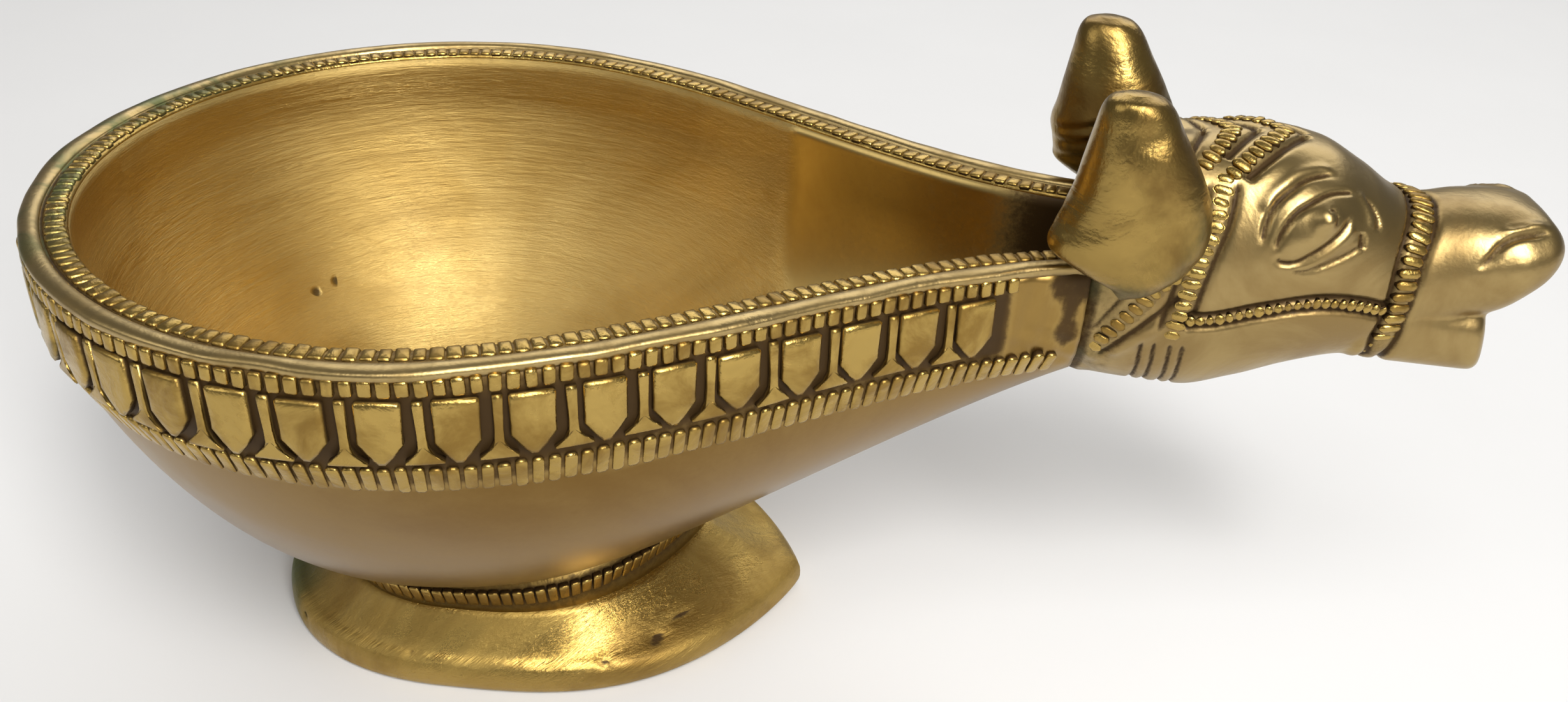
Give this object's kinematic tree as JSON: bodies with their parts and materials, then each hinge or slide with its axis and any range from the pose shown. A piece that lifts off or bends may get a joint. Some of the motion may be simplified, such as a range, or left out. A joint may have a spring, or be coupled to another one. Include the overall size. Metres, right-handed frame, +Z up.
{
  "type": "diya oil lamp",
  "caption": "Cast brass oil lamp with a pear-shaped bowl, banded rim and spreading leaf-shaped foot, whose open channel ends in a horned cow's head that serves as the handle.",
  "frame": {"origin": "on the surface the lamp stands on, under the middle of its whole length and width", "axes": "+X from the round bowl to the cow's head, +Y to the lamp's left side, +Z up"},
  "size_m": [0.1378, 0.0724, 0.0631],
  "materials": {
    "turned_brass": "lathe-turned and brushed, satin",
    "worked_brass": "chased and milled, polished on the high parts with dark patina in the grooves",
    "cast_brass": "as cast and hand polished, satin",
    "filed_brass": "filed and brushed, with scratches and small casting pits"
  },
  "bodies": {
    "root": {"bowl": "turned_brass", "rim_milled_edge": "worked_brass", "rim_lip": "worked_brass", "upper_milled_band": "worked_brass", "shield_panels": "worked_brass", "lower_milled_band": "worked_brass", "foot_collar": "worked_brass", "foot": "filed_brass", "head": "cast_brass", "lower_jaw": "cast_brass", "horn_left": "cast_brass", "horn_right": "cast_brass", "ear_left": "cast_brass", "ear_right": "cast_brass", "eye_left": "cast_brass", "eye_right": "cast_brass", "poll_tuft": "cast_brass", "brow_band_rear": "worked_brass", "brow_band_front": "worked_brass", "noseband": "worked_brass", "cheek_strap_left": "worked_brass", "cheek_strap_right": "worked_brass", "cheekpiece_left": "worked_brass", "cheekpiece_right": "worked_brass", "neck_collar": "worked_brass", "throat_straps": "worked_brass"}
  },
  "joints": []
}
